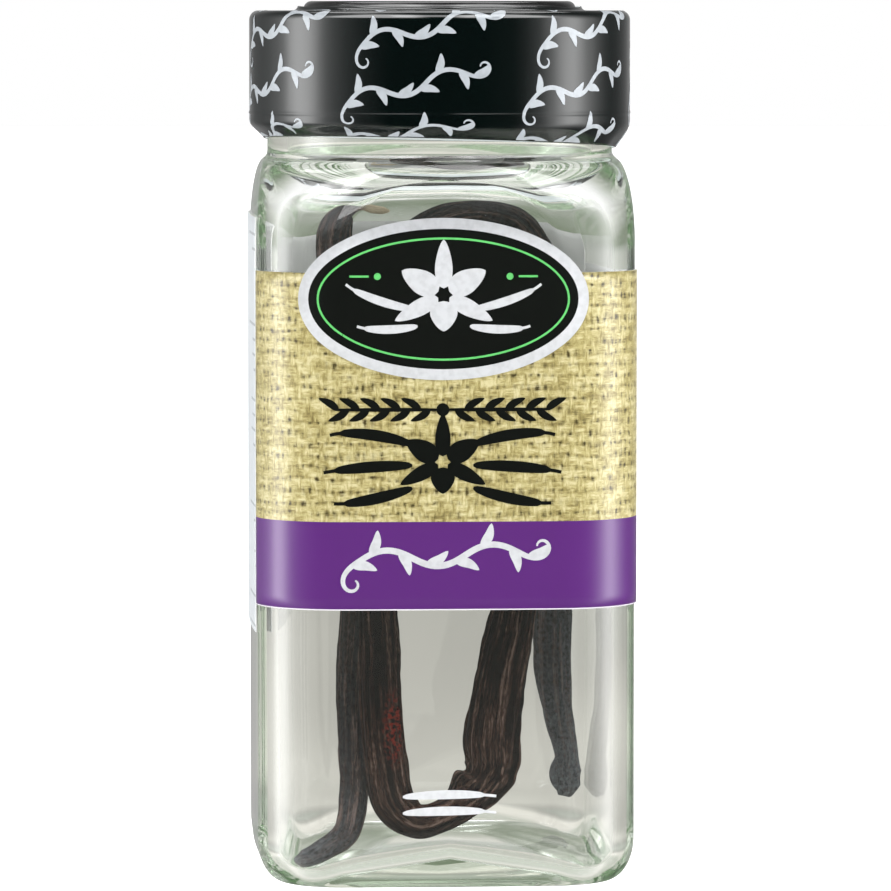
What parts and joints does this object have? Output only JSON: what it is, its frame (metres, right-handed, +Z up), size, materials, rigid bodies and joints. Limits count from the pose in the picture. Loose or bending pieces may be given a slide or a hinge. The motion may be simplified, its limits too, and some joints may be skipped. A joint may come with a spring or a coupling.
{
  "type": "jar of vanilla pods",
  "caption": "Shut square glass jar with a round black cap in a shrink band, a wraparound label, and long dark vanilla pods folded up inside.",
  "frame": {"origin": "centre of the jar's foot, on the surface it stands on", "axes": "+Z up along the jar's axis, -Y out of the front of the label"},
  "size_m": [0.0449, 0.045, 0.1024],
  "materials": {
    "glass": "clear, moulded, faintly green in the thick base",
    "cap_plastic": "moulded gloss black",
    "band_film": "shrunk gloss film, black with pale grey flourishes",
    "label_print": "printed film label, straw-coloured weave over a purple band",
    "label_white": "white label stock with thin grey rules",
    "badge_print": "printed black oval with a white border",
    "pod_skin": "oily, ridged and wrinkled, very dark brown"
  },
  "bodies": {
    "root": {"jar": "glass", "cap": "cap_plastic", "shrink_band": "band_film", "label_front": "label_print", "label_side": "label_white", "badge": "badge_print", "pod_front": "pod_skin", "pod_back": "pod_skin"}
  },
  "joints": []
}
